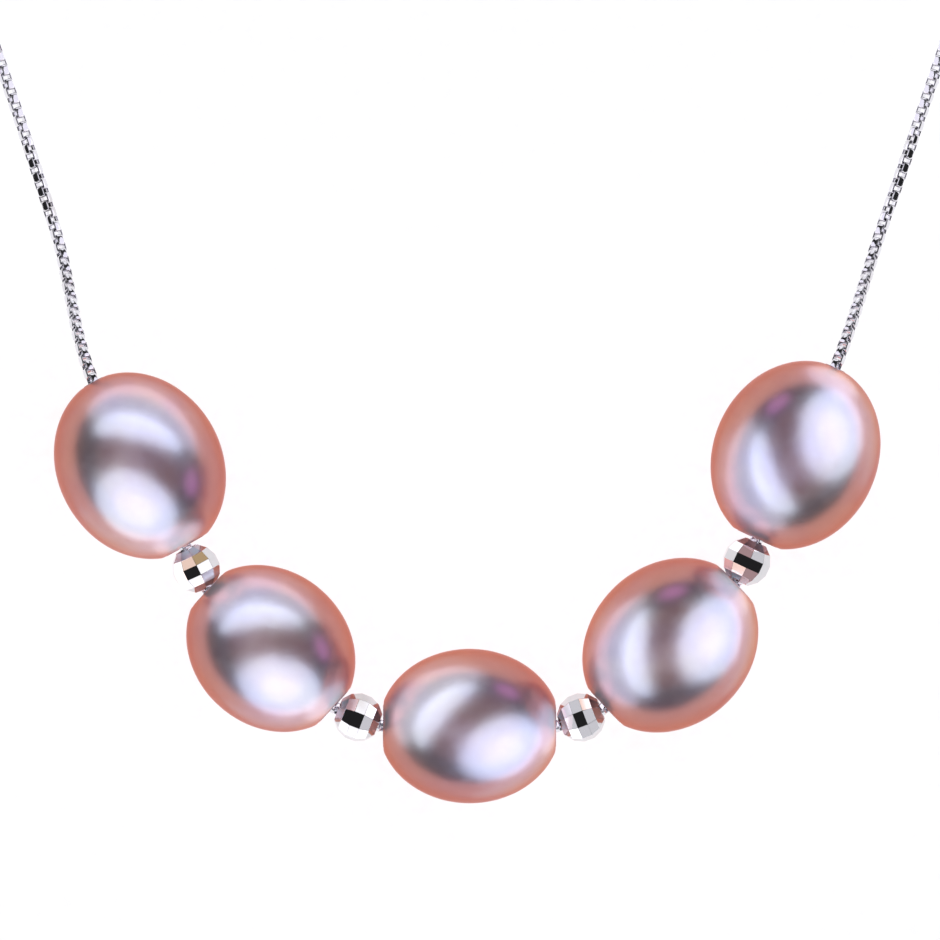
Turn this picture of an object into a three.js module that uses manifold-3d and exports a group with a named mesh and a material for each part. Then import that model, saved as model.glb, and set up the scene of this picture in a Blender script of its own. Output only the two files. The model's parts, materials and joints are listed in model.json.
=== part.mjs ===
// A pearl station necklace, laid open on a flat surface with its clasp undone. Five oval pearls and four
// faceted spacer beads are strung on one fine box chain that ends in a spring ring and a catch ring.
// Millimetres, +Z up. The surface is z = 0, the pearls lie at the low-Y end and the chain ends at the high-Y end.
import * as THREE from "three";
import { mergeVertices } from "three/addons/utils/BufferGeometryUtils.js";
import Module from "manifold-3d";

const wasm = await Module();
wasm.setup();

const degrees = Math.PI / 180;

// ---- Driving dimensions ----

// Box chain, which lies on an edge so that two of its faces look up.
const chainWidth = 0.6; // across the flats of a link
const linkPlay = 0.3; // each piece of chain stops this far short of the joint at its end
const dropLength = 9; // from an end pearl's hole down to the surface, seen from above
const runPieceLength = 22.5; // each further piece of chain, seen from above

// Pearls, drilled along their length.
const pearlSizes = {
  pearl_1: { length: 10.25, width: 8.75 },
  pearl_2: { length: 9.6, width: 8.2 },
  pearl_3: { length: 9.65, width: 8.2 },
  pearl_4: { length: 10, width: 8.55 },
  pearl_5: { length: 10.25, width: 8.75 },
};
const pearlHolePlay = 0.25; // hole diameter over the chain's diagonal
const nest = 0.1; // the chain's joint lies this far inside a pearl's tip
const seatDepth = 0.55; // hollow round a hole, in which the next bead turns
const seatPlay = 0.92; // the hollow's radius over the bead's
const mouthRadius = 0.9; // hollow round the hole at a strand's outer end
const mouthDepth = 0.25;

// Spacer beads: balls with flat facets and a lip round the hole.
const beadDiameter = 2.6;
const beadHolePlay = 0.2;
const beadLip = 0.1;
const beadRows = 5;
const beadFacets = 10;
const beadPlay = { spacer_bead_1: 0.07, spacer_bead_2: 0.27, spacer_bead_3: 0.27, spacer_bead_4: 0.07 };

// Wire rings at the chain's ends, all with their centres at one height.
const ringWire = 0.4;
const endRingDiameter = 1.4; // to the middle of the wire, as are the next two
const jumpRingDiameter = 2.4;
const catchRingDiameter = 3.2;
const catchRingSection = 0.5; // flat ring of square section
const endRingGap = 0.3; // between the last link and its ring

// Spring ring clasp: a curved tube with a gate, closed by a sprung bolt.
const caseDiameter = 4.2; // to the middle of the tube
const caseTube = 1.36;
const boltWire = 0.68;
const boltPlay = 0.16; // bore diameter over the bolt's
const springPlay = 0.08; // bore diameter over the spring's
const eyeWeld = 0.2; // how far the eye is sunk into the tube
const gateFrom = 25; // angles round the clasp in degrees, from its nose
const gateTo = 75;
const boltSocket = 8; // how far the shut bolt reaches into the far end of the tube
const socketPlay = 3;
const boltTail = 135;
const springGap = 2;
const springEnd = 216;
const springFloor = 4; // the blind end of the bore lies this far past the spring's end
const boreOverrun = 5; // a bore is cut this far past the tube's open end
const boltTravel = 55;
const knobAt = 86;
const knobStem = 0.44;
const knobHead = 0.84;
const knobReach = 0.35; // from the tube's outside to the middle of the knob's head
const slotPlay = 0.12;
const slotStep = 5; // degrees between the cuts that make the knob's slot

// The strand as it lies: how much each piece turns inwards from the one before it, in degrees.
const sides = [
  {
    name: "left",
    across: -1,
    strung: [
      ["spacer_bead_2", 21.3],
      ["pearl_2", 21.5],
      ["spacer_bead_1", 21.6],
      ["pearl_1", -3.7],
    ],
    run: [13.5, -2.7, 2, 3.5, 4.5, 5, 5.5, 6, 6],
  },
  {
    name: "right",
    across: 1,
    strung: [
      ["spacer_bead_3", 21.1],
      ["pearl_4", 22.5],
      ["spacer_bead_4", 21.5],
      ["pearl_5", 0.3],
    ],
    run: [4.6, 1.5, 2, 3.5, 4.5, 5, 5.5, 6, 6],
  },
];

// ---- Sizes that follow from them ----

const chainDiagonal = chainWidth * Math.SQRT2;
const pearlHole = chainDiagonal + pearlHolePlay;
const beadHole = chainDiagonal + beadHolePlay;
const beadEnd = beadHole / 2 + beadLip;
const beadLength = 2 * Math.sqrt((beadDiameter / 2) ** 2 - beadEnd ** 2);
const seatRadius = beadDiameter / 2 + seatPlay;
const ringHeight = (endRingDiameter + ringWire) / 2;
const caseBore = boltWire + boltPlay;

// ---- Materials ----

const pearlLook = { color: 0xc59bb5, roughness: 0.22, metalness: 0.1 };
const silverLook = { color: 0xd9dade, roughness: 0.18, metalness: 1 };
const steelLook = { color: 0x9b9ca0, roughness: 0.35, metalness: 1 };

function meshOf(name, geometry, look) {
  const mesh = new THREE.Mesh(geometry, new THREE.MeshStandardMaterial(look));
  mesh.name = name;
  return mesh;
}

// ---- Solids and cuts ----

function solidOf(geometry) {
  const bare = geometry.clone();
  bare.deleteAttribute("normal");
  bare.deleteAttribute("uv");
  const merged = mergeVertices(bare, 1e-4);
  const vertProperties = merged.getAttribute("position").array;
  const triVerts = new Uint32Array(merged.index.array);
  return new wasm.Manifold(new wasm.Mesh({ numProp: 3, vertProperties, triVerts }));
}

function geometryOf(solid) {
  const { vertProperties, triVerts } = solid.getMesh();
  const geometry = new THREE.BufferGeometry();
  geometry.setAttribute("position", new THREE.BufferAttribute(vertProperties, 3));
  geometry.setIndex(new THREE.BufferAttribute(triVerts, 1));
  geometry.computeVertexNormals();
  return geometry;
}

// A closed profile of [radius, place along the axis], turned about the X axis.
function turned(profile, around) {
  const points = [...profile, profile[0]].map(([radius, along]) => new THREE.Vector2(radius, along));
  const geometry = new THREE.LatheGeometry(points, around);
  geometry.rotateZ(-Math.PI / 2);
  return geometry;
}

// ---- Pearls ----

// Where a hollow of this radius and depth, centred on the axis outside the tip, meets an oval pearl.
function hollow(pearl, radius, depth) {
  const a = pearl.length / 2;
  const b = pearl.width / 2;
  const centre = a + radius - depth;
  const constant = centre ** 2 + b ** 2 - radius ** 2;
  const middle = a * centre;
  const cosine = constant / (middle + Math.sqrt(middle ** 2 - (a ** 2 - b ** 2) * constant));
  return { angle: Math.acos(cosine), rim: b * Math.sqrt(1 - cosine ** 2), centre, radius };
}

// The hollow's own curve, from its rim in to the hole, as [radius, distance from the pearl's middle].
function hollowCurve({ rim, centre, radius }, hole) {
  const steps = 4;
  const curve = [];
  for (let i = 1; i <= steps; i += 1) {
    const out = rim + ((hole - rim) * i) / steps;
    curve.push([out, centre - Math.sqrt(radius ** 2 - out ** 2)]);
  }
  return curve;
}

// A drilled oval along X, with a hollow at each end for what comes next to it there.
function pearlGeometry(pearl, low, high) {
  const around = 24;
  const steps = 14;
  const first = hollow(pearl, ...low);
  const last = hollow(pearl, ...high);
  const profile = [];
  for (let i = 0; i <= steps; i += 1) {
    const angle = Math.PI - first.angle + ((last.angle - (Math.PI - first.angle)) * i) / steps;
    profile.push([(pearl.width / 2) * Math.sin(angle), (pearl.length / 2) * Math.cos(angle)]);
  }
  profile.push(...hollowCurve(last, pearlHole / 2));
  const back = hollowCurve(first, pearlHole / 2).map(([out, along]) => [out, -along]);
  profile.push(...back.reverse());
  return turned(profile, around);
}

const seat = [seatRadius, seatDepth];
const mouth = [mouthRadius, mouthDepth];

// ---- Spacer beads ----

// Rows of flat facets between rings on a ball, with a round hole along X.
function beadGeometry() {
  const radius = beadDiameter / 2;
  const widest = Math.asin(beadLength / beadDiameter);
  const profile = [];
  for (let i = 0; i <= beadRows; i += 1) {
    const latitude = -widest + (2 * widest * i) / beadRows;
    profile.push([radius * Math.cos(latitude), radius * Math.sin(latitude)]);
  }
  const blank = solidOf(turned([...profile, [0, beadLength / 2], [0, -beadLength / 2]], beadFacets));
  const drill = new THREE.CylinderGeometry(beadHole / 2, beadHole / 2, 2 * beadLength, 16);
  drill.rotateZ(Math.PI / 2);
  return geometryOf(blank.subtract(solidOf(drill)));
}

// ---- Chain ----

// A straight piece of chain along X, on its edge, for a stretch between two joints.
function chainGeometry(stretch, shortened) {
  const geometry = new THREE.BoxGeometry(stretch - shortened, chainWidth, chainWidth);
  geometry.rotateX(45 * degrees);
  return geometry;
}

// ---- Rings and clasp, all drawn with the strand's direction along X ----

class Arc extends THREE.Curve {
  constructor(radius, from, to) {
    super();
    Object.assign(this, { radius, from, to });
  }

  getPoint(t, target = new THREE.Vector3()) {
    const angle = (this.from + (this.to - this.from) * t) * degrees;
    return target.set(this.radius * Math.cos(angle), this.radius * Math.sin(angle), 0);
  }
}

function roundSection(radius) {
  const corners = 12;
  const points = [];
  for (let i = 0; i < corners; i += 1) {
    const angle = (2 * Math.PI * i) / corners;
    points.push(new THREE.Vector2(radius * Math.cos(angle), radius * Math.sin(angle)));
  }
  return new THREE.Shape(points);
}

// A round rod bent round the clasp's centre between two angles in degrees.
function bentRod(diameter, from, to) {
  const bendStep = 9;
  const steps = Math.max(2, Math.round((to - from) / bendStep));
  const extrudePath = new Arc(caseDiameter / 2, from, to);
  return new THREE.ExtrudeGeometry(roundSection(diameter / 2), { steps, extrudePath, bevelEnabled: false });
}

function wireRing(diameter) {
  const across = 8;
  const around = 20;
  return new THREE.TorusGeometry(diameter / 2, ringWire / 2, across, around);
}

function standingRing() {
  return wireRing(endRingDiameter).rotateX(Math.PI / 2);
}

function catchRingGeometry() {
  const inner = (catchRingDiameter - catchRingSection) / 2;
  const outer = (catchRingDiameter + catchRingSection) / 2;
  const low = -catchRingSection / 2;
  const high = catchRingSection / 2;
  const profile = [[outer, low], [outer, high], [inner, high], [inner, low], [outer, low]];
  const points = profile.map(([radius, along]) => new THREE.Vector2(radius, along));
  return new THREE.LatheGeometry(points, 28).rotateX(Math.PI / 2);
}

// A rod of this diameter that points away from the clasp's centre at an angle.
function spoke(diameter, from, to, angle) {
  const rod = new THREE.CylinderGeometry(diameter / 2, diameter / 2, to - from, 12);
  rod.rotateZ(-Math.PI / 2);
  rod.translate((from + to) / 2, 0, 0);
  rod.rotateZ(angle * degrees);
  return solidOf(rod);
}

const eyeDistance = (caseDiameter + caseTube + endRingDiameter + ringWire) / 2 - eyeWeld;

function caseGeometry() {
  const outside = (caseDiameter + caseTube) / 2;
  const eye = standingRing().translate(-eyeDistance, 0, 0);
  const tubeEnd = 360 + gateFrom;
  let shell = solidOf(bentRod(caseTube, gateTo, tubeEnd)).add(solidOf(eye));
  const springBore = bentRod(caseBore, gateTo - boreOverrun, springEnd + springFloor);
  const boltBore = bentRod(caseBore, tubeEnd - boltSocket - socketPlay, tubeEnd + boreOverrun);
  shell = shell.subtract(solidOf(springBore)).subtract(solidOf(boltBore));
  const slotWidth = knobStem + 2 * slotPlay;
  const cuts = Math.ceil(boltTravel / slotStep);
  for (let i = 0; i <= cuts; i += 1) {
    const angle = knobAt + (boltTravel * i) / cuts;
    shell = shell.subtract(spoke(slotWidth, caseDiameter / 2, outside + slotWidth, angle));
  }
  return geometryOf(shell);
}

function boltGeometry() {
  const outside = (caseDiameter + caseTube) / 2;
  const head = new THREE.SphereGeometry(knobHead / 2, 14, 10);
  head.translate(outside + knobReach, 0, 0);
  head.rotateZ(knobAt * degrees);
  const rod = solidOf(bentRod(boltWire, gateFrom - boltSocket, boltTail));
  const stem = spoke(knobStem, caseDiameter / 2, outside + knobReach, knobAt);
  return geometryOf(rod.add(stem).add(solidOf(head)));
}

function springGeometry() {
  return bentRod(caseBore - springPlay, boltTail + springGap, springEnd);
}

// ---- Laying the strand out ----

const strand = new THREE.Group();

// Puts a mesh drawn along X between two points, with its middle halfway.
function layBetween(mesh, from, to) {
  const along = new THREE.Vector3().subVectors(to, from);
  const level = Math.hypot(along.x, along.y);
  mesh.rotation.set(0, -Math.atan2(along.z, level), Math.atan2(along.y, along.x), "ZYX");
  mesh.position.addVectors(from, to).multiplyScalar(0.5);
  strand.add(mesh);
}

function addChain(name, from, to, shortened = 2 * linkPlay) {
  layBetween(meshOf(name, chainGeometry(from.distanceTo(to), shortened), silverLook), from, to);
}

const middle = pearlSizes.pearl_3;
const middleReach = middle.length / 2 - nest;
const middleLow = new THREE.Vector3(-middleReach, 0, middle.width / 2);
const middleHigh = new THREE.Vector3(middleReach, 0, middle.width / 2);
addChain("chain_in_pearl_3", middleLow, middleHigh);
layBetween(meshOf("pearl_3", pearlGeometry(middle, seat, seat), pearlLook), middleLow, middleHigh);

for (const side of sides) {
  let heading = 0;
  let here = side.across < 0 ? middleLow : middleHigh;

  // The next joint, after turning inwards and going this far at the end's height.
  const ahead = (turn, length, height) => {
    heading += turn * degrees;
    const across = here.x + side.across * length * Math.cos(heading);
    return new THREE.Vector3(across, here.y + length * Math.sin(heading), height);
  };

  side.strung.forEach(([name, turn], place) => {
    const pearl = pearlSizes[name];
    const following = pearlSizes[side.strung[place + 1]?.[0]];
    const length = pearl ? pearl.length - 2 * nest : beadLength + beadPlay[name];
    const next = ahead(turn, length, (pearl ?? following).width / 2);
    addChain(`chain_in_${name}`, here, next);
    if (pearl) {
      const outermost = place === side.strung.length - 1;
      const shape = pearlGeometry(pearl, seat, outermost ? mouth : seat);
      layBetween(meshOf(name, shape, pearlLook), here, next);
    } else {
      layBetween(meshOf(name, beadGeometry(), silverLook), here, next);
    }
    here = next;
  });

  side.run.forEach((turn, place) => {
    const length = place === 0 ? dropLength : runPieceLength;
    const next = ahead(turn, length, chainDiagonal / 2);
    addChain(`chain_${side.name}_${place + 1}`, here, next);
    here = next;
  });

  // Everything past the last link is set on a group that points along the strand.
  const fittings = new THREE.Group();
  fittings.position.set(here.x, here.y, ringHeight);
  fittings.rotation.z = side.across < 0 ? Math.PI - heading : heading;
  strand.add(fittings);
  const ringAt = endRingGap + (endRingDiameter + ringWire) / 2 - linkPlay;
  const endRing = meshOf(`end_ring_${side.name}`, standingRing(), silverLook);
  endRing.position.x = ringAt;
  fittings.add(endRing);
  if (side.name === "left") {
    const jumpRing = meshOf("jump_ring", wireRing(jumpRingDiameter), silverLook);
    jumpRing.position.x = ringAt + jumpRingDiameter / 2;
    fittings.add(jumpRing);
    const clasp = new THREE.Group();
    clasp.position.x = ringAt + jumpRingDiameter + eyeDistance;
    clasp.add(meshOf("clasp_case", caseGeometry(), silverLook));
    clasp.add(meshOf("clasp_bolt", boltGeometry(), silverLook));
    clasp.add(meshOf("clasp_spring", springGeometry(), steelLook));
    fittings.add(clasp);
  } else {
    const catchRing = meshOf("catch_ring", catchRingGeometry(), silverLook);
    catchRing.position.x = ringAt + catchRingDiameter / 2;
    fittings.add(catchRing);
  }
}

// The part's origin is the middle of its footprint, on the surface.
const necklace = new THREE.Group();
necklace.add(strand);
necklace.updateMatrixWorld(true);
const box = new THREE.Box3().setFromObject(necklace, true);
const centre = box.getCenter(new THREE.Vector3());
strand.position.set(-centre.x, -centre.y, -box.min.z);

export default necklace;
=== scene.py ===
"""The looks of the pearl station necklace: nacre pearls, faceted silver beads, a box chain made of its
interlocked links, and a spring ring clasp, laid open on a pale surface and seen from straight above."""

import json
import math

import bmesh
import bpy
from mathutils import Matrix, Vector, noise

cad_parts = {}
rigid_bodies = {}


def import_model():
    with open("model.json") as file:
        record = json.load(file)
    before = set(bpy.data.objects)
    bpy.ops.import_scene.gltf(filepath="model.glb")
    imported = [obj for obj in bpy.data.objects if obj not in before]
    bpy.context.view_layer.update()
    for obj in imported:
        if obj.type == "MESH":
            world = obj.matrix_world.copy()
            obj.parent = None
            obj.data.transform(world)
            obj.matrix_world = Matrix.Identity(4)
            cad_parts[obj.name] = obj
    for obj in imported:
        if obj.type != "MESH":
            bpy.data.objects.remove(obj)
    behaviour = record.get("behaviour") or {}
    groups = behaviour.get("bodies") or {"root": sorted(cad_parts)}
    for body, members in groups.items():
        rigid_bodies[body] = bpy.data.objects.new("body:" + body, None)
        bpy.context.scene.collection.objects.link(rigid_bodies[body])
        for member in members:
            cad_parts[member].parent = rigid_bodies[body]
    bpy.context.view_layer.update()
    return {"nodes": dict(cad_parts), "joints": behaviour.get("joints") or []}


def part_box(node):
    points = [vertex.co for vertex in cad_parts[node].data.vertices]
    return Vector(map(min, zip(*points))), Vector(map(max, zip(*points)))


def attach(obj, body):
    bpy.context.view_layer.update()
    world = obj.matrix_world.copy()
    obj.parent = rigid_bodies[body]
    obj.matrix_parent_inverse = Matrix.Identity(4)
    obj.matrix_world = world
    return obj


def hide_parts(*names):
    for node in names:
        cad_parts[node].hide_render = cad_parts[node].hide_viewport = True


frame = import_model()

MM = 0.001
UP = Vector((0, 0, 1))
joints = {joint["name"]: joint for joint in frame["joints"]}


# ---- Places, from the frame ----

def joint_at(name):
    return Vector(joints[name]["pos_m"])


def box_middle(node):
    low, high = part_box(node)
    return (low + high) / 2


def box_size(node):
    low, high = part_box(node)
    return high - low


def axes_at(origin, along):
    """The matrix that takes local X to along, with local Z as near to up as it can be."""
    x = along.normalized()
    y = UP.cross(x).normalized()
    z = x.cross(y)
    return Matrix.Translation(origin) @ Matrix((x, y, z)).transposed().to_4x4()


# ---- Meshes ----

def new_piece(name, mesh_maker, place, body, replaced, material):
    """A smooth piece from a bmesh drawn about its own origin, set in place and riding on a body."""
    mesh = bpy.data.meshes.new(name)
    shape = bmesh.new()
    mesh_maker(shape)
    bmesh.ops.recalc_face_normals(shape, faces=shape.faces)
    shape.to_mesh(mesh)
    shape.free()
    mesh.transform(place)
    mesh.update()
    mesh.shade_smooth()
    piece = bpy.data.objects.new(name, mesh)
    bpy.context.scene.collection.objects.link(piece)
    mesh.materials.append(material)
    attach(piece, body)
    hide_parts(*replaced)
    return piece


def join_loops(shape, loops, closed_along):
    """Quads between neighbouring rings of vertices, each ring closed on itself."""
    count = len(loops[0])
    pairs = list(zip(loops[:-1], loops[1:]))
    if closed_along:
        pairs.append((loops[-1], loops[0]))
    for first, second in pairs:
        for i in range(count):
            k = (i + 1) % count
            shape.faces.new((first[i], first[k], second[k], second[i]))


def turned_point(along, radius, angle):
    """A point at a place along X and a radius from it, turned about X."""
    return Vector((along, radius * math.cos(angle), radius * math.sin(angle)))


def turn_profile(shape, profile, around, sway=None):
    """A closed profile of (place along X, radius), turned about X. sway moves a finished point."""
    loops = []
    for along, radius in profile:
        ring = []
        for i in range(around):
            point = turned_point(along, radius, 2 * math.pi * i / around)
            ring.append(shape.verts.new(sway(point) if sway else point))
        loops.append(ring)
    join_loops(shape, loops, closed_along=True)


def join_and_cap(shape, loops):
    """Quads between neighbouring rings of vertices, and a flat face over each end."""
    join_loops(shape, loops, closed_along=False)
    shape.faces.new(loops[0][::-1])
    shape.faces.new(loops[-1])


def sweep(shape, frames, section, closed_along):
    """A section of (across, up) points carried along frames of (point, across, up)."""
    loops = []
    for point, across, up in frames:
        loops.append([shape.verts.new(point + across * a + up * b) for a, b in section])
    if closed_along:
        join_loops(shape, loops, closed_along=True)
    else:
        join_and_cap(shape, loops)


def circle(radius, count):
    """Points round a circle, as (across, up)."""
    turn = 2 * math.pi / count
    return [(radius * math.cos(turn * i), radius * math.sin(turn * i)) for i in range(count)]


def rounded_rectangle(width, height, radius, steps):
    """Corner points of a rectangle with round corners, as (across, up)."""
    points = []
    for corner in range(4):
        right = 1 if corner in (0, 3) else -1
        top = 1 if corner in (0, 1) else -1
        for i in range(steps + 1):
            angle = (corner + i / steps) * math.pi / 2
            across = right * (width / 2 - radius) + radius * math.cos(angle)
            up = top * (height / 2 - radius) + radius * math.sin(angle)
            points.append((across, up))
    return points


# ---- Materials ----

def new_material(name):
    """A material, its Principled shader, a short way to add a node, and the list of links."""
    material = bpy.data.materials.new(name)
    material.use_nodes = True
    nodes = material.node_tree.nodes
    links = material.node_tree.links
    shader = nodes["Principled BSDF"]

    def add(kind, **settings):
        node = nodes.new(kind)
        for key, value in settings.items():
            if key in node.inputs:
                node.inputs[key].default_value = value
            else:
                setattr(node, key, value)
        return node

    return material, shader, add, links


def object_noise(add, links, scale, detail, stretch=(1, 1, 1)):
    """Noise in the piece's own space, whose unit is a metre."""
    place = add("ShaderNodeTexCoord")
    mapping = add("ShaderNodeMapping", Scale=stretch)
    texture = add("ShaderNodeTexNoise", Scale=scale, Detail=detail)
    links.new(place.outputs["Object"], mapping.inputs["Vector"])
    links.new(mapping.outputs["Vector"], texture.inputs["Vector"])
    return texture.outputs["Fac"]


def ramp_of(add, links, source, *stops):
    """A colour ramp with stops of (position, colour)."""
    ramp = add("ShaderNodeValToRGB")
    elements = ramp.color_ramp.elements
    while len(elements) < len(stops):
        elements.new(0.5)
    for element, (position, colour) in zip(elements, stops):
        element.position = position
        element.color = (*colour, 1)
    links.new(source, ramp.inputs["Fac"])
    return ramp.outputs["Color"]


NOISE_RANGE = (0.3, 0.7)  # where most of a noise texture's values lie


def range_of(add, links, source, low, high):
    """Maps a texture's middle range to low and high."""
    mapped = add("ShaderNodeMapRange")
    mapped.inputs["From Min"].default_value = NOISE_RANGE[0]
    mapped.inputs["From Max"].default_value = NOISE_RANGE[1]
    mapped.inputs["To Min"].default_value = low
    mapped.inputs["To Max"].default_value = high
    links.new(source, mapped.inputs["Value"])
    return mapped.outputs["Result"]


def bump_from(add, links, source, strength, distance):
    bump = add("ShaderNodeBump", Strength=strength, Distance=distance)
    links.new(source, bump.inputs["Height"])
    return bump.outputs["Normal"]


def multiplied(add, links, first, second):
    """One colour times the other."""
    mix = add("ShaderNodeMix", data_type="RGBA", blend_type="MULTIPLY")
    mix.inputs["Factor"].default_value = 1.0
    colour_a, colour_b = [socket for socket in mix.inputs if socket.type == "RGBA"]
    links.new(first, colour_a)
    links.new(second, colour_b)
    return next(socket for socket in mix.outputs if socket.type == "RGBA")


def nacre_material():
    """Pink-violet freshwater nacre: a copper and mauve lustre, softly clouded, with faint growth lines."""
    material, shader, add, links = new_material("nacre")
    body = object_noise(add, links, 240, 3)
    cloud = object_noise(add, links, 900, 4)
    colour = ramp_of(
        add, links, body,
        (0.32, (0.56, 0.222, 0.158)), (0.5, (0.54, 0.215, 0.168)), (0.68, (0.52, 0.21, 0.18)),
    )
    veil = ramp_of(add, links, cloud, (0.35, (0.95, 0.93, 0.95)), (0.65, (1, 1, 1)))
    links.new(multiplied(add, links, colour, veil), shader.inputs["Base Color"])
    growth = object_noise(add, links, 420, 2, (1, 1, 2.2))
    links.new(bump_from(add, links, growth, 0.25, 0.004 * MM), shader.inputs["Normal"])
    links.new(range_of(add, links, cloud, 0.28, 0.32), shader.inputs["Roughness"])
    shader.inputs["Metallic"].default_value = 0.86
    shader.inputs["IOR"].default_value = 1.6
    shader.inputs["Specular Tint"].default_value = (0.86, 0.36, 0.2, 1)
    shader.inputs["Sheen Weight"].default_value = 0.08
    shader.inputs["Sheen Roughness"].default_value = 0.35
    shader.inputs["Sheen Tint"].default_value = (1.0, 0.66, 0.62, 1)
    return material


def silver_material(name, tint, rough, grain, stretch, bump_depth):
    """Polished silver with a faint haze, fine drawn or polishing marks, and a trace of tarnish."""
    material, shader, add, links = new_material(name)
    haze = object_noise(add, links, 420, 4)
    marks = object_noise(add, links, grain, 2, stretch)
    dull = tuple(channel * shade for channel, shade in zip(tint, (0.8, 0.77, 0.74)))
    colour = ramp_of(add, links, haze, (0.25, dull), (0.45, tint), (0.8, tint))
    links.new(colour, shader.inputs["Base Color"])
    links.new(range_of(add, links, marks, rough * 0.7, rough * 1.4), shader.inputs["Roughness"])
    links.new(bump_from(add, links, marks, 0.12, bump_depth), shader.inputs["Normal"])
    shader.inputs["Metallic"].default_value = 1
    return material


def steel_material():
    """Hard-drawn spring wire, greyer and rougher than the silver."""
    return silver_material("spring_wire", (0.6, 0.6, 0.62), 0.26, 5200, (1, 1, 0.3), 0.004 * MM)


def floor_material():
    """Pale matte card with a trace of tooth."""
    material, shader, add, links = new_material("pale_card")
    tooth = object_noise(add, links, 1400, 3)
    colour = ramp_of(add, links, tooth, (0.3, (0.86, 0.86, 0.87)), (0.7, (0.9, 0.9, 0.91)))
    links.new(colour, shader.inputs["Base Color"])
    shader.inputs["Roughness"].default_value = 0.9
    shader.inputs["Specular IOR Level"].default_value = 0.1
    return material


NACRE = nacre_material()
CHAIN_SILVER = silver_material("chain_silver", (0.8, 0.79, 0.83), 0.09, 3800, (1, 1, 1), 0.002 * MM)
BEAD_SILVER = silver_material("bead_silver", (0.69, 0.68, 0.7), 0.03, 5200, (1, 0.3, 1), 0.0006 * MM)
RING_SILVER = silver_material("ring_silver", (0.82, 0.81, 0.84), 0.12, 3200, (1, 1, 0.4), 0.002 * MM)
SPRING_STEEL = steel_material()


# ---- Pearls ----

PEARLS = [f"pearl_{i}" for i in range(1, 6)]
SEAT = (2.22 * MM, 0.55 * MM)  # radius and depth of the hollow in which a bead turns
MOUTH = (0.9 * MM, 0.25 * MM)  # the same round the hole at the strand's outer end
RIM_ROUNDING = 0.3 * MM
PEARL_AROUND = 128
OVAL_STEPS = 84
HOLLOW_STEPS = 10
RIM_STEPS = 8
HOLE_STEPS = 6
# How far a grown pearl strays from a true oval, and how often over its surface.
SWELL, SWELL_SCALE = 0.012 * MM, 1.6
RIPPLE, RIPPLE_SCALE = 0.0035 * MM, 6
HOLE_FADE = 3  # the straying fades out over a third of the half width beside the hole


def spin_place(name):
    """The middle of a pearl or bead, and the strand's direction there from left to right."""
    spin = joints[f"spin_of_{name}"]
    axis = Vector(spin["axis"]).normalized()
    return Vector(spin["pos_m"]), axis if axis.x > 0 else -axis


def oval_of(name):
    """Half length, half width and hole radius of a pearl, from its solid."""
    middle, axis = spin_place(name)
    points = []
    for vertex in frame["nodes"][name].data.vertices:
        offset = vertex.co - middle
        along = offset.dot(axis)
        points.append((abs(along), (offset - along * axis).length))
    half_width = max(radius for along, radius in points)
    rim_along, rim_radius = max(points)
    half_length = rim_along / math.sqrt(1 - (rim_radius / half_width) ** 2)
    return half_length, half_width, min(radius for along, radius in points)


def hollow_rim(half_length, half_width, hollow):
    """Where a hollow's ball meets the oval, as an angle from the tip, and the ball's centre."""
    radius, depth = hollow
    centre = half_length + radius - depth
    low, high = 0.0, math.pi / 2
    halvings = 60
    for _ in range(halvings):
        angle = (low + high) / 2
        away = Vector((half_length * math.cos(angle) - centre, half_width * math.sin(angle))).length
        if away < radius:
            low = angle
        else:
            high = angle
    return low, centre


def hollow_points(half_length, half_width, hole, hollow):
    """One end's profile, from the hole's edge out over the hollow to just past its rounded rim."""
    radius, _ = hollow
    angle, centre = hollow_rim(half_length, half_width, hollow)
    rim = Vector((half_length * math.cos(angle), half_width * math.sin(angle)))
    points = []
    for i in range(HOLLOW_STEPS + 1):
        out = hole + (rim.y - hole) * i / HOLLOW_STEPS
        points.append(Vector((centre - math.sqrt(radius ** 2 - out ** 2), out)))
    inner_side = (points[-2] - rim).normalized()
    past = angle + RIM_ROUNDING / half_length
    outer = Vector((half_length * math.cos(past), half_width * math.sin(past)))
    inner = rim + inner_side * RIM_ROUNDING
    points[-1] = inner
    for i in range(1, RIM_STEPS):
        t = i / RIM_STEPS
        points.append(inner * (1 - t) ** 2 + rim * 2 * t * (1 - t) + outer * t ** 2)
    return points, past


def pearl_profile(half_length, half_width, hole, first, last):
    """The whole closed profile as (along, radius), hollow first, then the oval, hollow, and the hole."""
    low_end, low_angle = hollow_points(half_length, half_width, hole, first)
    high_end, high_angle = hollow_points(half_length, half_width, hole, last)
    profile = [(-point.x, point.y) for point in low_end]
    for i in range(OVAL_STEPS + 1):
        angle = math.pi - low_angle + (high_angle - math.pi + low_angle) * i / OVAL_STEPS
        profile.append((half_length * math.cos(angle), half_width * math.sin(angle)))
    profile.extend((point.x, point.y) for point in reversed(high_end))
    start, stop = high_end[0].x, -low_end[0].x
    for i in range(1, HOLE_STEPS):
        profile.append((start + (stop - start) * i / HOLE_STEPS, hole))
    return profile


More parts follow.
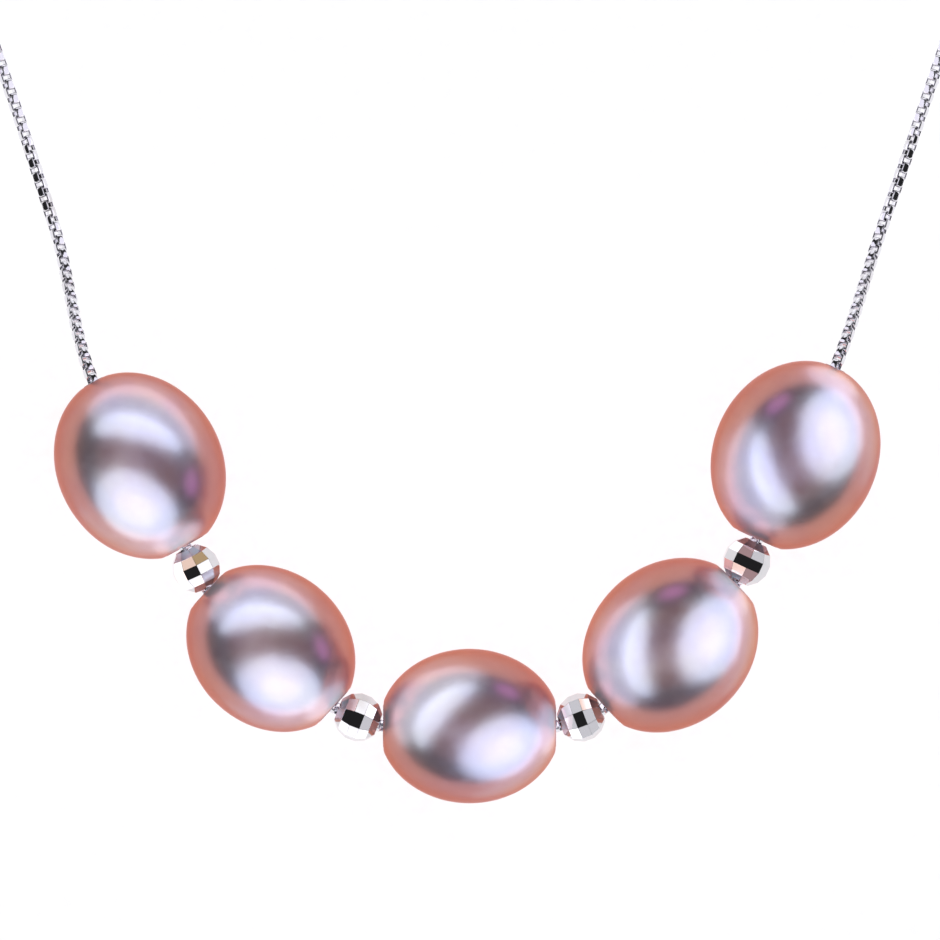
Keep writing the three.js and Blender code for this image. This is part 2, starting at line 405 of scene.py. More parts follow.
def make_pearl(name, number):
    """A pearl, with a seat for each bead beside it and a plain mouth where the chain leaves the strand."""
    half_length, half_width, hole = oval_of(name)
    middle, axis = spin_place(name)
    first = MOUTH if number == 0 else SEAT
    last = MOUTH if number == len(PEARLS) - 1 else SEAT
    profile = pearl_profile(half_length, half_width, hole, first, last)
    seed = Vector((number * 7.3, number * 3.1, number * 1.7))  # another part of the noise for each pearl

    def grown(point):
        direction = point.normalized()
        depth = SWELL * noise.noise(direction * SWELL_SCALE + seed)
        depth += RIPPLE * noise.noise(direction * RIPPLE_SCALE + seed)
        reach = max(0.0, (Vector((0, point.y, point.z)).length - hole) / half_width)
        return point + direction * depth * min(1.0, HOLE_FADE * reach)

    new_piece(
        f"{name}_nacre", lambda shape: turn_profile(shape, profile, PEARL_AROUND, grown),
        axes_at(middle, axis), name, [name], NACRE,
    )


for number, name in enumerate(PEARLS):
    make_pearl(name, number)


# ---- Spacer beads ----

BEADS = [f"spacer_bead_{i}" for i in range(1, 5)]
BEAD_ROWS = 5
BEAD_FACETS = 10
BEAD_EDGE = 0.014 * MM  # width of the polished edge between two facets
HOLE_EASE = 0.03 * MM
# The hole's eased mouth as (depth below the end, distance out from the hole), in parts of HOLE_EASE.
MOUTH_STEPS = [(0, 1), (1 / 3, 1 / 3), (1, 0)]
WIDE_FACET = 0.1  # of the largest face's area, above which a face is a facet and not an eased edge
BEAD_ROLL = {"spacer_bead_1": 11, "spacer_bead_2": 5, "spacer_bead_3": 1, "spacer_bead_4": -15}


def bead_size(name):
    """Radius of the ball, half length and hole radius of a bead, from its solid."""
    middle, axis = spin_place(name)
    along = []
    radii = []
    for vertex in frame["nodes"][name].data.vertices:
        offset = vertex.co - middle
        along.append(abs(offset.dot(axis)))
        radii.append((offset - offset.dot(axis) * axis).length)
    half = max(along)
    nearly_end = 0.999 * half
    end = max(radius for place, radius in zip(along, radii) if place > nearly_end)
    return math.hypot(half, end), half, min(radii)


def draw_bead(shape, radius, half, hole):
    """Flat facets in rings round a ball, with their edges eased, and a drilled hole."""
    widest = math.asin(half / radius)
    rings = []
    for row in range(BEAD_ROWS + 1):
        latitude = -widest + 2 * widest * row / BEAD_ROWS
        ring = []
        for i in range(BEAD_FACETS):
            angle = 2 * math.pi * i / BEAD_FACETS
            spot = turned_point(radius * math.sin(latitude), radius * math.cos(latitude), angle)
            ring.append(shape.verts.new(spot))
        rings.append(ring)
    join_loops(shape, rings, closed_along=False)
    edges = list(shape.edges)
    bmesh.ops.bevel(
        shape, geom=edges, offset=BEAD_EDGE, segments=2, profile=0.6, affect="EDGES", clamp_overlap=True,
    )
    bmesh.ops.recalc_face_normals(shape, faces=shape.faces)
    drill_ends(shape, half, hole)


def drill_ends(shape, half, hole):
    """Closes both open ends of the faceted ball with a flat lip and joins them by the hole."""
    borders = [edge for edge in shape.edges if edge.is_boundary]
    mouths = []
    for side in (-1, 1):
        rim = sorted(
            {v for edge in borders for v in edge.verts if v.co.x * side > 0},
            key=lambda v: math.atan2(v.co.z, v.co.y),
        )
        circles = []
        for depth, away in MOUTH_STEPS:
            along = side * (half - depth * HOLE_EASE)
            out = hole + away * HOLE_EASE
            spots = [turned_point(along, out, math.atan2(v.co.z, v.co.y)) for v in rim]
            circles.append([shape.verts.new(spot) for spot in spots])
        join_loops(shape, [rim, *circles], closed_along=False)
        mouths.append(circles[-1])
    join_loops(shape, mouths, closed_along=False)


def flat_facets(piece):
    """Facets flat and the narrow edges between them smooth."""
    areas = [face.area for face in piece.data.polygons]
    wide = WIDE_FACET * max(areas)
    for face, area in zip(piece.data.polygons, areas):
        face.use_smooth = area < wide


for name in BEADS:
    radius, half, hole = bead_size(name)
    middle, axis = spin_place(name)
    roll = Matrix.Rotation(math.radians(BEAD_ROLL[name]), 4, "X")
    flat_facets(new_piece(
        f"{name}_facets", lambda shape: draw_bead(shape, radius, half, hole),
        axes_at(middle, axis) @ roll, name, [name], BEAD_SILVER,
    ))


# ---- Box chain ----

LINK_PITCH = 0.4 * MM
LINK_WIDTH = 0.6 * MM
LINK_STRIP = 0.1 * MM  # thickness of the strip that a link is folded from
LINK_PLAY = 0.015 * MM
LINK_LENGTH = LINK_PITCH + 2 * LINK_STRIP + LINK_PLAY
LINK_DEPTH = LINK_WIDTH - 2 * LINK_STRIP - 2 * LINK_PLAY
LINK_CORNER = 0.1 * MM
STRIP_EDGE = 0.04 * MM
ROLL = 45  # degrees, so that the chain lies on an edge
ROLL_LEAN = 11  # and a little over, so that the row of links on the neck's side faces up more
KINK_AT = 11.9 * MM  # from the end pearl, where it rolls back for a few links
KINK_LENGTH = 2.4 * MM
KINK_ROLL = 26
KINK_SHARPNESS = 4
WAVE_ROLL = 3  # degrees that the chain sways to and fro
WAVE_LENGTH = 6 * MM  # per radian
RUNS = 9
CURVE_STEPS = 400

STRAND = ["pearl_1", "spacer_bead_1", "pearl_2", "spacer_bead_2", "pearl_3",
          "spacer_bead_3", "pearl_4", "spacer_bead_4", "pearl_5"]
STRAND_MIDDLE = STRAND.index("pearl_3")


def ring_height():
    return box_middle("end_ring_left").z


def chain_end(side):
    """Where the last link ends, a ring's outer radius short of the end ring's middle, and at its height."""
    ring = box_middle(f"end_ring_{side}")
    last = joint_at(f"bend_at_chain_{side}_{RUNS}")
    back = Vector((last.x - ring.x, last.y - ring.y, 0)).normalized()
    return ring + back * ring_height()


def chain_pieces():
    """The chain from end to end, as (body, first point, last point, strung)."""
    left = [f"chain_left_{i}" for i in range(1, RUNS + 1)]
    right = [f"chain_right_{i}" for i in range(1, RUNS + 1)]
    inner = [f"chain_in_{name}" for name in STRAND]
    hinged = [*reversed(left), *STRAND[:STRAND_MIDDLE], *STRAND[STRAND_MIDDLE + 1:], *right]
    points = [chain_end("left")]
    points += [joint_at(f"bend_at_{name}") for name in hinged]
    points.append(chain_end("right"))
    names = [*reversed(left), *inner, *right]
    return [(name, points[i], points[i + 1], name in inner) for i, name in enumerate(names)]


def bend_tangent(before, after):
    """The chain's direction at a joint, halfway between its two pieces and level where both are outside
    the pearls. None between two strung pieces, which stay straight."""
    _, before_start, joint, before_strung = before
    _, _, after_stop, after_strung = after
    if before_strung and after_strung:
        return None
    direction = ((joint - before_start).normalized() + (after_stop - joint).normalized()).normalized()
    if not (before_strung or after_strung):
        direction = Vector((direction.x, direction.y, 0)).normalized()
    return direction


def hermite(start, stop, start_way, stop_way, t):
    """A point on the curve between two places, with the curve's direction given at both."""
    length = (stop - start).length
    a = (1 + 2 * t) * (1 - t) ** 2
    b = t * (1 - t) ** 2
    c = t * t * (3 - 2 * t)
    d = t * t * (t - 1)
    return start * a + start_way * (b * length) + stop * c + stop_way * (d * length)


def even_points(start, stop, start_way, stop_way, count):
    """Points at equal distances along the curve between two joints, count + 1 of them."""
    dense = [hermite(start, stop, start_way, stop_way, i / CURVE_STEPS) for i in range(CURVE_STEPS + 1)]
    travelled = [0.0]
    for one, two in zip(dense[:-1], dense[1:]):
        travelled.append(travelled[-1] + (two - one).length)
    total = travelled[-1]
    points = []
    place = 0
    for i in range(count + 1):
        goal = total * i / count
        while place < CURVE_STEPS - 1 and travelled[place + 1] < goal:
            place += 1
        share = (goal - travelled[place]) / (travelled[place + 1] - travelled[place])
        points.append(dense[place].lerp(dense[place + 1], share))
    return points


LINK_PATH = rounded_rectangle(LINK_LENGTH - LINK_STRIP, LINK_WIDTH - LINK_STRIP, LINK_CORNER, 3)
LINK_SECTION = rounded_rectangle(LINK_STRIP, LINK_DEPTH, STRIP_EDGE, 2)


def draw_link(shape, middle, along, side, up):
    """One link: a strip folded into a box that is open along up, with its corners rounded."""
    count = len(LINK_PATH)
    frames = []
    for i, (x, y) in enumerate(LINK_PATH):
        before = Vector(LINK_PATH[i - 1])
        after = Vector(LINK_PATH[(i + 1) % count])
        way = (after - before).normalized()
        outward = along * way.y - side * way.x
        frames.append((middle + along * x + side * y, outward, up))
    sweep(shape, frames, LINK_SECTION, closed_along=True)


def chain_lean(point):
    """How far the chain leans at a point in degrees, with the kink that each side has near its pearl."""
    mouth = joint_at("bend_at_chain_left_1" if point.x < 0 else "bend_at_chain_right_1")
    from_pearl = (point - mouth).length
    if point.y < mouth.y:
        from_pearl = 0.0
    kink = math.exp(-((from_pearl - KINK_AT) / KINK_LENGTH) ** KINK_SHARPNESS)
    wave = WAVE_ROLL * math.sin(from_pearl / WAVE_LENGTH)
    return ROLL_LEAN + wave - KINK_ROLL * kink


def draw_links(shape, points, first_number):
    """Links between neighbouring points, each turned a quarter from the one before."""
    for i, (one, two) in enumerate(zip(points[:-1], points[1:])):
        along = (two - one).normalized()
        level = UP.cross(along).normalized()
        rise = along.cross(level)
        middle = (one + two) / 2
        turn = math.radians(ROLL + chain_lean(middle) + 90 * ((first_number + i) % 2))
        side = level * math.cos(turn) + rise * math.sin(turn)
        up = along.cross(side)
        draw_link(shape, middle, along, side, up)


def make_chain():
    """Every piece of the chain, its links numbered on from the piece before."""
    pieces = chain_pieces()
    ways = [None, *(bend_tangent(a, b) for a, b in zip(pieces[:-1], pieces[1:])), None]
    made = 0
    for i, (name, start, stop, strung) in enumerate(pieces):
        straight = (stop - start).normalized()
        start_way = stop_way = straight
        if not strung:
            start_way = ways[i] or straight
            stop_way = ways[i + 1] or straight
        count = max(2, round((stop - start).length / LINK_PITCH))
        points = even_points(start, stop, start_way, stop_way, count)
        new_piece(
            f"{name}_links", lambda shape: draw_links(shape, points, made),
            Matrix.Identity(4), name, [name], CHAIN_SILVER,
        )
        made += count


make_chain()


# ---- Rings at the chain's ends ----

RING_WIRE = 0.4 * MM
RING_AROUND = 72
WIRE_AROUND = 20
JUMP_OPENING = 0.03 * MM
LOOP_WIRE = 0.13 * MM
LOOP_WIDTH = 0.74 * MM
LOOP_CORNER = 0.3 * MM
LOOP_BACK = 0.44 * MM  # how far the soldered loop runs back over the last link
LOOP_AHEAD = RING_WIRE + 0.16 * MM  # and on round the end ring's wire
CATCH_EDGE = 0.09 * MM
CATCH_AROUND = 96


def draw_wire_ring(shape, radius, opening=0.0):
    """A ring of round wire in the local XY plane, closed, or with an opening on its local +X side."""
    section = circle(RING_WIRE / 2, WIRE_AROUND)
    frames = []
    steps = RING_AROUND + 1 if opening else RING_AROUND
    span = 2 * math.pi - opening / radius
    for i in range(steps):
        angle = opening / radius / 2 + span * i / RING_AROUND
        outward = Vector((math.cos(angle), math.sin(angle), 0))
        frames.append((outward * radius, outward, UP.copy()))
    sweep(shape, frames, section, closed_along=not opening)


def draw_end_loop(shape):
    """The soldered loop that joins the last link to its end ring, along X from the last link."""
    length = LOOP_AHEAD + LOOP_BACK
    path = rounded_rectangle(length - LOOP_WIRE, LOOP_WIDTH - LOOP_WIRE, LOOP_CORNER, 8)
    frames = []
    for i, (x, y) in enumerate(path):
        before = Vector(path[i - 1])
        after = Vector(path[(i + 1) % len(path)])
        way = (after - before).normalized()
        spot = Vector((x + length / 2 - LOOP_BACK, y, 0))
        frames.append((spot, Vector((way.y, -way.x, 0)), UP.copy()))
    sweep(shape, frames, circle(LOOP_WIRE / 2, 12), closed_along=True)


def along_strand(side):
    """The strand's own direction at one of its ends, level."""
    ring = box_middle(f"end_ring_{side}")
    last = joint_at(f"bend_at_chain_{side}_{RUNS}")
    return Vector((ring.x - last.x, ring.y - last.y, 0)).normalized()


def make_end_ring(side):
    """The ring that stands upright at one end of the chain, and the loop that holds it."""
    name = f"end_ring_{side}"
    radius = box_size(name).z / 2 - RING_WIRE / 2
    body = f"chain_{side}_{RUNS}"
    standing = axes_at(box_middle(name), along_strand(side)) @ Matrix.Rotation(math.pi / 2, 4, "X")
    new_piece(f"{name}_wire", lambda shape: draw_wire_ring(shape, radius),
              standing, body, [name], RING_SILVER)
    place = axes_at(chain_end(side), along_strand(side))
    new_piece(f"{name}_loop", draw_end_loop, place, body, [], CHAIN_SILVER)


for side in ("left", "right"):
    make_end_ring(side)

jump_middle = box_middle("jump_ring")
jump_radius = (joint_at("clasp_swing") - joint_at("jump_ring_swing")).length / 2
new_piece(
    "jump_ring_wire", lambda shape: draw_wire_ring(shape, jump_radius, JUMP_OPENING),
    axes_at(jump_middle, UP.cross(along_strand("left"))), "jump_ring", ["jump_ring"],
    RING_SILVER,
)


def draw_catch_ring(shape, radius, thickness):
    """A flat ring as wide as it is thick, with rounded edges, about the local X axis."""
    edge = rounded_rectangle(thickness, thickness, CATCH_EDGE, 4)
    turn_profile(shape, [(across, radius + up) for across, up in edge], CATCH_AROUND)


catch_thickness = box_size("catch_ring").z
catch_radius = (box_middle("catch_ring") - joint_at("catch_ring_swing")).length
new_piece(
    "catch_ring_flat", lambda shape: draw_catch_ring(shape, catch_radius, catch_thickness),
    Matrix.Translation(box_middle("catch_ring")) @ Matrix.Rotation(-math.pi / 2, 4, "Y"),
    "catch_ring", ["catch_ring"], RING_SILVER,
)


# ---- Spring ring clasp, drawn about its centre with the eye at -X ----

CASE_RADIUS = 2.1 * MM
CASE_TUBE = 1.36 * MM
CASE_BORE = 0.84 * MM
CASE_ROUNDING = 0.12 * MM
EYE_RADIUS = 0.7 * MM
BOLT_WIRE = 0.68 * MM
BOLT_ROUNDING = 0.14 * MM
# Places round the clasp, in degrees.
GATE_FROM, GATE_TO = 25, 75
BOLT_SOCKET = 11
BOLT_FROM, BOLT_TO = 17, 135
SPRING_FROM, SPRING_TO = 137, 216
BORE_PAST_SPRING = 4
CUT_PAST = 5  # how far a cutter reaches beyond the tube's end
SLOT_FROM, SLOT_TO = 78, 150
KNOB_AT = 86
ROD_STEP = 3
SLOT_WIDTH = 0.68 * MM
SLOT_CORNER = 0.12 * MM
SLOT_STEPS = 24
KNOB_STEM = 0.44 * MM
KNOB_HEAD = 0.84 * MM
KNOB_REACH = 0.35 * MM
KNOB_NECK = 0.3 * MM  # from the stem's end to the head's middle
KNOB_FLATNESS = 0.86
KNOB_ARC = 0.82  # of a half circle, from the stem to the head's top
KNOB_STEPS = 14
COIL_WIRE = 0.1 * MM
COIL_PLAY = 0.08 * MM
COIL_TURNS = 13
COIL_STEPS = 20  # in a turn
ROD_AROUND = 28
END_STEPS = 5
CREASE = 40  # degrees, above which an edge of a cut piece stays sharp

clasp_centre = joint_at("clasp_bolt_draw")
clasp_eye = joint_at("clasp_swing")
clasp_place = axes_at(clasp_centre, clasp_centre - clasp_eye)


def ring_frame(angle, radius=CASE_RADIUS):
    """A frame on the clasp's circle: the point, the way out from the centre, and up."""
    turn = math.radians(angle)
    outward = Vector((math.cos(turn), math.sin(turn), 0))
    return outward * radius, outward, UP.copy()


def rod_stations(diameter, start, stop, rounding):
    """Places along a rod in degrees, each with the rod's size there as a part of its full size."""
    steps = max(4, round((stop - start) / ROD_STEP))
    even = [(start + (stop - start) * i / steps, 1.0) for i in range(steps + 1)]
    if not rounding:
        return even
    end = math.degrees(rounding / CASE_RADIUS)
    head = []
    for i in range(END_STEPS + 1):
        turn = math.pi / 2 * i / END_STEPS
        size = 1 - (2 * rounding / diameter) * (1 - math.sin(turn))
        head.append((start + end - end * math.cos(turn), size))
    inner = [station for station in even if start + end < station[0] < stop - end]
    tail = [(stop - (angle - start), size) for angle, size in reversed(head)]
    return head + inner + tail


def bent_rod(shape, diameter, start, stop, rounding=0.0):
    """A round rod along the clasp's circle, with its ends flat or rounded off."""
    section = circle(1, ROD_AROUND)
    loops = []
    for angle, size in rod_stations(diameter, start, stop, rounding):
        point, outward, up = ring_frame(angle)
        reach = diameter / 2 * size
        loops.append([shape.verts.new(point + outward * (a * reach) + up * (b * reach))
                      for a, b in section])
    join_and_cap(shape, loops)


def piece_from(name, draw):
    """A scratch object to cut or join with."""
    mesh = bpy.data.meshes.new(name)
    shape = bmesh.new()
    draw(shape)
    bmesh.ops.recalc_face_normals(shape, faces=shape.faces)
    shape.to_mesh(mesh)
    shape.free()
    scratch = bpy.data.objects.new(name, mesh)
    bpy.context.scene.collection.objects.link(scratch)
    return scratch


def combine(target, other, operation):
    """Applies one boolean to target, and removes the other object."""
    modifier = target.modifiers.new("cut", "BOOLEAN")
    modifier.operation = operation
    modifier.solver = "EXACT"
    modifier.object = other
    with bpy.context.temp_override(object=target, active_object=target):
        bpy.ops.object.modifier_apply(modifier=modifier.name)
    bpy.data.objects.remove(other)


def draw_slot(shape):
    """The cutter for the knob's slot: a curved block through the tube's outer wall."""
    inner = CASE_RADIUS
    outer = CASE_RADIUS + CASE_TUBE
    section = rounded_rectangle(outer - inner, SLOT_WIDTH, SLOT_CORNER, 3)
    frames = []
    for i in range(SLOT_STEPS + 1):
        angle = SLOT_FROM + (SLOT_TO - SLOT_FROM) * i / SLOT_STEPS
        frames.append(ring_frame(angle, (outer + inner) / 2))
    sweep(shape, frames, section, closed_along=False)


def draw_eye(shape):
    """The upright loop on the case that the jump ring holds."""
    eye = Vector(((clasp_centre - clasp_eye).length, 0, 0))
    section = circle(RING_WIRE / 2, WIRE_AROUND)
    frames = []
    for i in range(RING_AROUND):
        angle = 2 * math.pi * i / RING_AROUND
        outward = Vector((math.cos(angle), 0, math.sin(angle)))
        frames.append((outward * EYE_RADIUS - eye, outward, Vector((0, 1, 0))))
    sweep(shape, frames, section, closed_along=True)


def rod_piece(name, diameter, start, stop, rounding=0.0):
    return piece_from(name, lambda shape: bent_rod(shape, diameter, start, stop, rounding))


def clasp_case():
    """The curved tube with its eye, bored for the spring and the bolt, and slotted for the knob."""
    end = 360 + GATE_FROM
    case = rod_piece("clasp_case_tube", CASE_TUBE, GATE_TO, end, CASE_ROUNDING)
    spring_bore = ("spring_bore", CASE_BORE, GATE_TO - CUT_PAST, SPRING_TO + BORE_PAST_SPRING)
    bolt_bore = ("bolt_bore", CASE_BORE, end - BOLT_SOCKET, end + CUT_PAST)
    combine(case, piece_from("eye", draw_eye), "UNION")
    combine(case, rod_piece(*spring_bore), "DIFFERENCE")
    combine(case, rod_piece(*bolt_bore), "DIFFERENCE")
    combine(case, piece_from("slot", draw_slot), "DIFFERENCE")
    return case


def draw_knob(shape):
    """A turned thumb knob on its stem, standing out from the bolt."""
    outside = CASE_RADIUS + CASE_TUBE / 2
    head = outside + KNOB_REACH
    outline = [(CASE_RADIUS, KNOB_STEM / 2), (head - KNOB_NECK, KNOB_STEM / 2)]
    for i in range(KNOB_STEPS):
        angle = math.pi * (KNOB_ARC - KNOB_ARC * i / KNOB_STEPS)
        along = head + KNOB_HEAD / 2 * KNOB_FLATNESS * math.cos(angle)
        outline.append((along, KNOB_HEAD / 2 * math.sin(angle)))
    place = Matrix.Rotation(math.radians(KNOB_AT), 4, "Z")
    loops = []
    for along, out in outline:
        ring = []
        for i in range(ROD_AROUND):
            spot = turned_point(along, out, 2 * math.pi * i / ROD_AROUND)
            ring.append(shape.verts.new(place @ spot))
        loops.append(ring)
    join_and_cap(shape, loops)


def clasp_bolt():
    """The curved bolt with its thumb knob."""
    bolt = rod_piece("clasp_bolt_rod", BOLT_WIRE, BOLT_FROM, BOLT_TO, BOLT_ROUNDING)
    combine(bolt, piece_from("knob", draw_knob), "UNION")
    return bolt


def draw_coil(shape):
    """The compression spring, wound round the clasp's circle inside the tube."""
    coil = (CASE_BORE - COIL_PLAY - COIL_WIRE) / 2
    steps = COIL_TURNS * COIL_STEPS
    frames = []
    spots = []
    for i in range(steps + 1):
        angle = SPRING_FROM + (SPRING_TO - SPRING_FROM) * i / steps
        point, outward, up = ring_frame(angle)
        wind = 2 * math.pi * COIL_TURNS * i / steps
        spots.append((point + outward * (coil * math.cos(wind)) + up * (coil * math.sin(wind)), point))
    for i, (spot, core) in enumerate(spots):
        ahead = spots[min(i + 1, steps)][0] - spots[max(i - 1, 0)][0]
        out = (spot - core).normalized()
        across = ahead.normalized().cross(out).normalized()
        frames.append((spot, out, across))
    sweep(shape, frames, circle(COIL_WIRE / 2, 8), closed_along=False)


def settle(piece, body, node):
    """Sets a finished silver clasp piece in place, smooth but for its cut edges, and lets it ride."""
    piece.data.transform(clasp_place)
    piece.data.materials.clear()
    piece.data.materials.append(RING_SILVER)
    piece.data.shade_smooth()
    piece.data.set_sharp_from_angle(angle=math.radians(CREASE))
    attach(piece, body)
    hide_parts(node)


settle(clasp_case(), "clasp", "clasp_case")
settle(clasp_bolt(), "clasp_bolt", "clasp_bolt")
new_piece("clasp_spring_coil", draw_coil, clasp_place, "clasp", ["clasp_spring"],
          SPRING_STEEL)


# ---- Floor, light and camera ----

FLOOR_REACH = 6
# The card's own lights as (name, strength, whether the pieces shade it).
FLOOR_LIGHTS = [("floor_key", 0.9, True), ("floor_fill", 2.65, False)]
FLOOR_LIGHT_SPREAD = 120  # degrees
WORLD_COLOUR = (0.95, 0.96, 1.0)
WORLD_SEEN = 0.92
WORLD_LIGHT = 0.022


def add_floor():
    mesh = bpy.data.meshes.new("floor")
    shape = bmesh.new()
    corners = [(-1, -1), (1, -1), (1, 1), (-1, 1)]
    shape.faces.new([shape.verts.new((x * FLOOR_REACH, y * FLOOR_REACH, 0)) for x, y in corners])
    shape.to_mesh(mesh)
    shape.free()
    floor = bpy.data.objects.new("floor", mesh)
    bpy.context.scene.collection.objects.link(floor)
    mesh.materials.append(floor_material())
    return floor


def receivers(name, objects):
    """A collection of the pieces that a light shines on."""
    group = bpy.data.collections.new(name)
    for item in objects:
        group.objects.link(item)
    return group


def axes_for_panel(place, back):
    """Local Z along back, local X level."""
    x = UP.cross(back).normalized()
    y = back.cross(x)
    return Matrix.Translation(place) @ Matrix((x, y, back)).transposed().to_4x4()


def sky(azimuth, elevation):
    """A direction from angles in degrees, azimuth from +X towards +Y."""
    a, e = math.radians(azimuth), math.radians(elevation)
    return Vector((math.cos(a) * math.cos(e), math.sin(a) * math.cos(e), math.sin(e)))


def panel(name, target, way, distance, spread, radiance, group):
    """A soft oval panel at a distance from target, lighting only its group.
    way is (azimuth, elevation), spread is half its (width, height), all in degrees."""
    light = bpy.data.lights.new(name, "AREA")
    light.shape = "ELLIPSE"
    light.size, light.size_y = (2 * distance * math.tan(math.radians(angle)) for angle in spread)
    brightest = max(radiance)
    light.energy = brightest * math.pi ** 2 / 4 * light.size * light.size_y
    light.color = [channel / brightest for channel in radiance]
    holder = bpy.data.objects.new(name, light)
    bpy.context.scene.collection.objects.link(holder)
    back = sky(*way)
    holder.matrix_world = axes_for_panel(target + back * distance, back)
    holder.visible_camera = False
    holder.light_linking.receiver_collection = group
    holder.light_linking.blocker_collection = group


# A pearl's panels as (name, azimuth from the main panel, elevation, half width, half height, radiance).
PEARL_PANELS = [
    ("main", 0, 37, 48, 46, (1.38, 3.85, 6.5)),
    ("heart", 0, 38, 26, 22, (0.6, 1.15, 1.4)),
    ("tail", 36, -22, 22, 28, (0.75, 2.15, 3.6)),
    ("low", 0, -36, 42, 20, (0.12, 0.72, 1.12)),
    ("strip", 186, 45, 55, 16, (1.55, 4.3, 7.1)),
    ("fade", 180, 10, 62, 30, (0.8, 2.0, 3.2)),
    ("back", 180, -38, 40, 18, (0.05, 0.3, 0.5)),
    ("over", 270, 80, 24, 22, (0.2, 0.4, 0.65)),
    ("glow", 0, 86, 54, 54, (0.17, 0.09, 0.07)),
    ("violet", 92, 18, 13, 9, (0.85, 0.7, 2.5)),
]
LUSTRE_TURN = -39.7  # degrees from the strand's own direction at a pearl round to its main panel
PANEL_DISTANCE = 100 * MM


def light_pearl(name):
    """A pearl's own panels, which leave a dark band between them where the lens looks down."""
    middle, axis = spin_place(name)
    azimuth = math.degrees(math.atan2(axis.y, axis.x)) + LUSTRE_TURN
    group = receivers(f"lit_{name}", [bpy.data.objects[f"{name}_nacre"]])
    for part, turn, elevation, half_width, half_height, radiance in PEARL_PANELS:
        panel(f"{name}_{part}", middle, (azimuth + turn, elevation), PANEL_DISTANCE,
              (half_width, half_height), radiance, group)


# Panels round the silver, as (azimuth, elevation, half width, half height, radiance).
CHAIN_PANELS = [
    (0, 22, 42, 30, (1.05, 1.03, 1.15)),
    (90, 12, 34, 16, (1.0, 1.0, 1.05)),
    (270, 20, 34, 16, (1.0, 1.0, 1.05)),
    (90, 76, 44, 34, (0.1, 0.1, 0.11)),
]
FITTING_PANELS = [
    (0, 10, 40, 16, (1.1, 1.1, 1.2)),
    (180, 10, 40, 16, (1.1, 1.1, 1.2)),
    (90, 24, 30, 12, (0.8, 0.8, 0.85)),
    (270, 48, 34, 13, (0.95, 0.95, 1.0)),
    (60, 74, 34, 12, (0.85, 0.85, 0.9)),
]
METAL_DISTANCE = 0.5


def light_group(name, pieces, target, panels, mirrored=False):
    """The same panels for a group of pieces, mirrored left to right if need be."""
    group = receivers(name, pieces)
    for i, (azimuth, elevation, half_width, half_height, radiance) in enumerate(panels):
        way = (180 - azimuth if mirrored else azimuth, elevation)
        panel(f"{name}_{i}", target, way, METAL_DISTANCE, (half_width, half_height), radiance, group)


SILVER_NAMES = ("chain", "clasp", "jump", "catch", "end")
STRAND_TARGET = Vector((0, -60 * MM, 0))


def light_chain_and_fittings():
    """Near the pearls, each side of the chain has bright panels on the neck's side and none on the other.
    The rest of the chain and its fittings have panels all round."""
    near = ("chain_left_1_", "chain_left_2_")
    left = []
    right = []
    others = []
    for item in bpy.context.scene.objects:
        if item.type != "MESH" or not item.name.startswith(SILVER_NAMES):
            continue
        mirrored = item.name.replace("right", "left")
        if mirrored.startswith("chain_in") or mirrored.startswith(near):
            middle = sum((Vector(corner) for corner in item.bound_box), Vector()) / 8
            (left if middle.x < 0 else right).append(item)
        else:
            others.append(item)
    light_group("lit_chain_left", left, STRAND_TARGET, CHAIN_PANELS)
    light_group("lit_chain_right", right, STRAND_TARGET, CHAIN_PANELS, mirrored=True)
    light_group("lit_fittings", others, Vector(), FITTING_PANELS)


BRIGHT = (1.45, 1.45, 1.5)
PALE = (0.8, 0.8, 0.84)
PEACH = (1.15, 0.85, 0.7)
TAN = (0.6, 0.42, 0.22)
MAUVE = (0.5, 0.32, 0.33)
DARK = None
# What each bead's nine upper facets mirror, row by row along the strand from left to right.
BEAD_PANELS = {
    "spacer_bead_1": [(PALE, PEACH, TAN), (PEACH, DARK, BRIGHT), (PALE, BRIGHT, DARK)],
    "spacer_bead_2": [(PALE, DARK, MAUVE), (BRIGHT, DARK, BRIGHT), (PALE, PALE, BRIGHT)],
    "spacer_bead_3": [(BRIGHT, PALE, PALE), (PALE, DARK, PALE), (PALE, PALE, PEACH)],
    "spacer_bead_4": [(MAUVE, PEACH, MAUVE), (DARK, DARK, DARK), (PALE, MAUVE, PALE)],
}
FACET_SPREAD = 15  # degrees


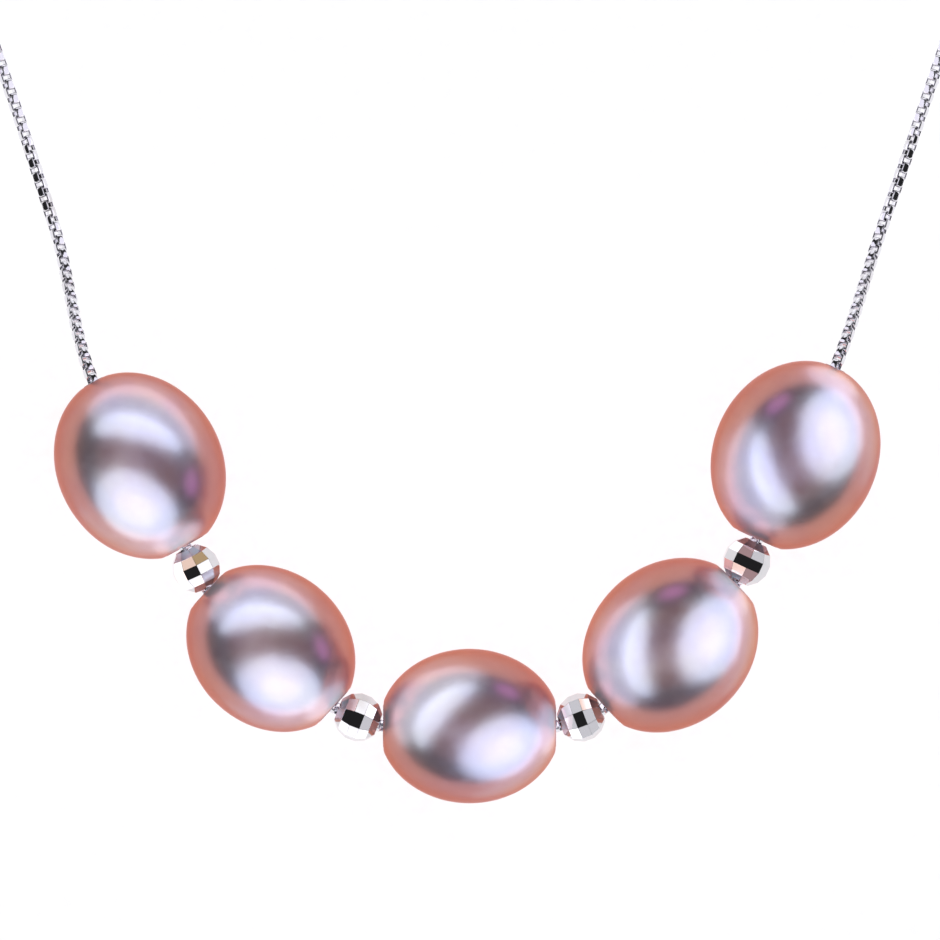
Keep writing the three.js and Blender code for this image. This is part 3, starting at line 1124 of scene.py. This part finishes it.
def light_bead(name):
    """A small panel for each upper facet, where that facet's mirror image of the lens falls."""
    middle, axis = spin_place(name)
    group = receivers(f"lit_{name}", [bpy.data.objects[f"{name}_facets"]])
    turn = axes_at(middle, axis).to_3x3()
    radius, half, _ = bead_size(name)
    row_step = 2 * math.degrees(math.asin(half / radius)) / BEAD_ROWS
    for row, looks in enumerate(BEAD_PANELS[name]):
        latitude = math.radians((row - 1) * row_step)
        for column, radiance in enumerate(looks):
            if radiance is None:
                continue
            lean = math.radians((column - 1) * 360 / BEAD_FACETS - BEAD_ROLL[name])
            out = math.cos(latitude)
            normal = turn @ Vector((math.sin(latitude), out * math.sin(lean), out * math.cos(lean)))
            seen = 2 * normal.z * normal - UP
            way = (math.degrees(math.atan2(seen.y, seen.x)), math.degrees(math.asin(seen.z)))
            panel(f"{name}_{row}_{column}", middle, way, METAL_DISTANCE,
                  (FACET_SPREAD, FACET_SPREAD), radiance, group)


def light_floor(floor):
    """Broad light on the card: a part of it casts soft shadows, and the rest fills them."""
    lit = receivers("lit_floor", [floor])
    for name, strength, shadows in FLOOR_LIGHTS:
        sun = bpy.data.lights.new(name, "SUN")
        sun.energy = strength
        sun.angle = math.radians(FLOOR_LIGHT_SPREAD)
        holder = bpy.data.objects.new(name, sun)
        bpy.context.scene.collection.objects.link(holder)
        holder.light_linking.receiver_collection = lit
        if not shadows:
            holder.light_linking.blocker_collection = lit


def add_world():
    """Pale where the camera sees it, dim where it lights the pieces."""
    world = bpy.data.worlds.new("studio")
    world.use_nodes = True
    tree = world.node_tree
    background = tree.nodes["Background"]
    background.inputs["Color"].default_value = (*WORLD_COLOUR, 1)
    path = tree.nodes.new("ShaderNodeLightPath")
    strength = tree.nodes.new("ShaderNodeMix")
    strength.inputs["A"].default_value = WORLD_LIGHT
    strength.inputs["B"].default_value = WORLD_SEEN
    tree.links.new(path.outputs["Is Camera Ray"], strength.inputs["Factor"])
    tree.links.new(strength.outputs["Result"], background.inputs["Strength"])
    bpy.context.scene.world = world


VIEW_WIDTH = 49.9 * MM
VIEW_CENTRE = (-0.01 * MM, -90.54 * MM)


def add_camera():
    """Straight above the front of the strand, far off with a long lens."""
    camera = bpy.data.cameras.new("camera")
    camera.sensor_width = 36
    camera.lens = 200
    holder = bpy.data.objects.new("camera", camera)
    bpy.context.scene.collection.objects.link(holder)
    pearl_height = joint_at("spin_of_pearl_3").z
    distance = VIEW_WIDTH * camera.lens / camera.sensor_width
    holder.location = (*VIEW_CENTRE, pearl_height + distance)
    camera.clip_start = 0.01
    camera.clip_end = 10
    bpy.context.scene.camera = holder


floor = add_floor()
light_floor(floor)
for name in PEARLS:
    light_pearl(name)
for name in BEADS:
    light_bead(name)
light_chain_and_fittings()
add_world()
add_camera()
bpy.context.scene.view_settings.view_transform = "Standard"
